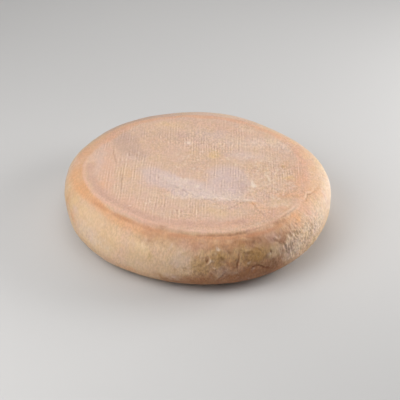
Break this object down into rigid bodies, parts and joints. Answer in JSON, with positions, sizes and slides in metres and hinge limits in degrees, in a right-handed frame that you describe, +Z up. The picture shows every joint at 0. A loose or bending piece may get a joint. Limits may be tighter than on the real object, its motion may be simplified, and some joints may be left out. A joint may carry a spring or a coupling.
{
  "type": "citeaux cheese",
  "caption": "Whole round wheel of soft washed-rind cheese with a flat cloth-pressed top, a low lip round it and a bulging side, lying flat.",
  "frame": {"origin": "middle of the wheel's box at the foot, on the surface that it lies on", "axes": "+Z up through the wheel's thickness, from the foot to the cloth-pressed top face; -Y is the side with the crease under the lip, and +X the side with the pinched fold"},
  "size_m": [0.18, 0.1812, 0.0382],
  "materials": {
    "rind": "matt washed rind, pinkish orange to cream, with a faint pressed cloth weave and a thin pale bloom"
  },
  "bodies": {
    "root": {"cheese_wheel": "rind"}
  },
  "joints": []
}
